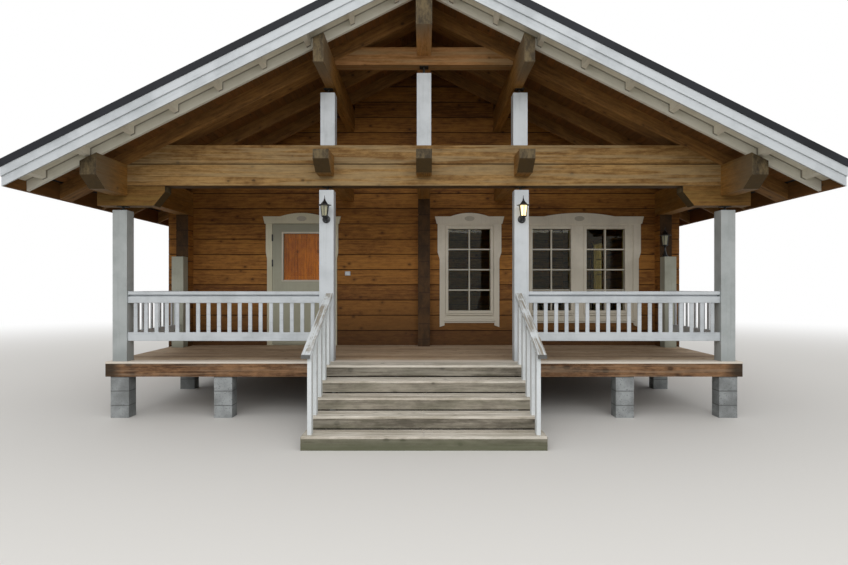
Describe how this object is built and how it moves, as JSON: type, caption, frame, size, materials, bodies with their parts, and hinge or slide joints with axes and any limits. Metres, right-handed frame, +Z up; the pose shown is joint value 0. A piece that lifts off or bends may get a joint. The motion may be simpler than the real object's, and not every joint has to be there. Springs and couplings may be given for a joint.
{
  "type": "log cabin",
  "caption": "Log cabin with notched crossing log walls, a wide gabled porch on posts, front stairs, railings and a hinged outward-opening door.",
  "frame": {"origin": "on the ground, in the middle of the building's length and width", "axes": "+Z up, +Y from the porch stairs to the back wall, +X to the right seen from the front"},
  "size_m": [9.72, 11.56, 5.639],
  "materials": {
    "log_wall": "planed logs with a clear honey-brown stain",
    "porch_beam": "weathered planed logs, brown going grey",
    "roof_timber": "brown stained sawn boards",
    "white_woodwork": "satin white paint",
    "cream_woodwork": "satin off-white paint",
    "door_paint": "satin white paint",
    "deck_wood": "weathered brown decking",
    "stair_wood": "weathered grey boards",
    "floor_wood": "lacquered floor boards",
    "concrete": "cast concrete blocks",
    "roofing": "matt charcoal coating",
    "window_glass": "clear sealed glass",
    "black_metal": "black enamel",
    "steel": "zinc-plated, dull"
  },
  "bodies": {
    "house": {"back_wall": "log_wall", "back_window": "white_woodwork", "barge_boards_left": "white_woodwork", "barge_boards_right": "white_woodwork", "collar_beam": "porch_beam", "corbels": "porch_beam", "corner_posts": "white_woodwork", "deck_boards": "deck_wood", "deck_joists": "deck_wood", "door_frame": "white_woodwork", "door_sill": "log_wall", "eave_fascias": "roof_timber", "foundation_piers": "concrete", "front_gable": "log_wall", "front_wall_left": "log_wall", "front_wall_right": "log_wall", "front_windows": "white_woodwork", "gable_posts": "white_woodwork", "house_floor": "floor_wood", "lanterns": "black_metal", "low_wall_posts": "white_woodwork", "middle_log_ends": "log_wall", "middle_posts": "white_woodwork", "plate_logs": "porch_beam", "porch_railing_left": "white_woodwork", "porch_railing_right": "white_woodwork", "porch_ties": "porch_beam", "post_jacks": "steel", "rafters_left": "roof_timber", "rafters_right": "roof_timber", "ridge_cap": "roofing", "ridge_purlin": "porch_beam", "rim_beam": "deck_wood", "roof_boards_left": "roof_timber", "roof_boards_right": "roof_timber", "roof_covering_left": "roofing", "roof_covering_right": "roofing", "side_railings": "white_woodwork", "side_wall_left": "log_wall", "side_wall_right": "log_wall", "side_windows": "white_woodwork", "slope_purlins": "porch_beam", "stair_railing_left": "white_woodwork", "stair_railing_right": "white_woodwork", "stair_risers": "stair_wood", "stair_stringers": "stair_wood", "stair_treads": "stair_wood", "tie_beam_lower": "porch_beam", "tie_beam_upper": "porch_beam", "verge_rafters_left": "cream_woodwork", "verge_rafters_right": "cream_woodwork", "verge_soffit_left": "cream_woodwork", "verge_soffit_right": "cream_woodwork", "window_glass": "window_glass"},
    "door": {"door_leaf": "door_paint", "door_glass": "window_glass", "door_handle": "steel"}
  },
  "joints": [
    {"name": "door_hinge", "type": "hinge", "parent": "house", "child": "door", "pos_m": [-2.578, -1.96, 0.77], "axis": [0, 0, -1], "range_deg": [0, 100]}
  ]
}
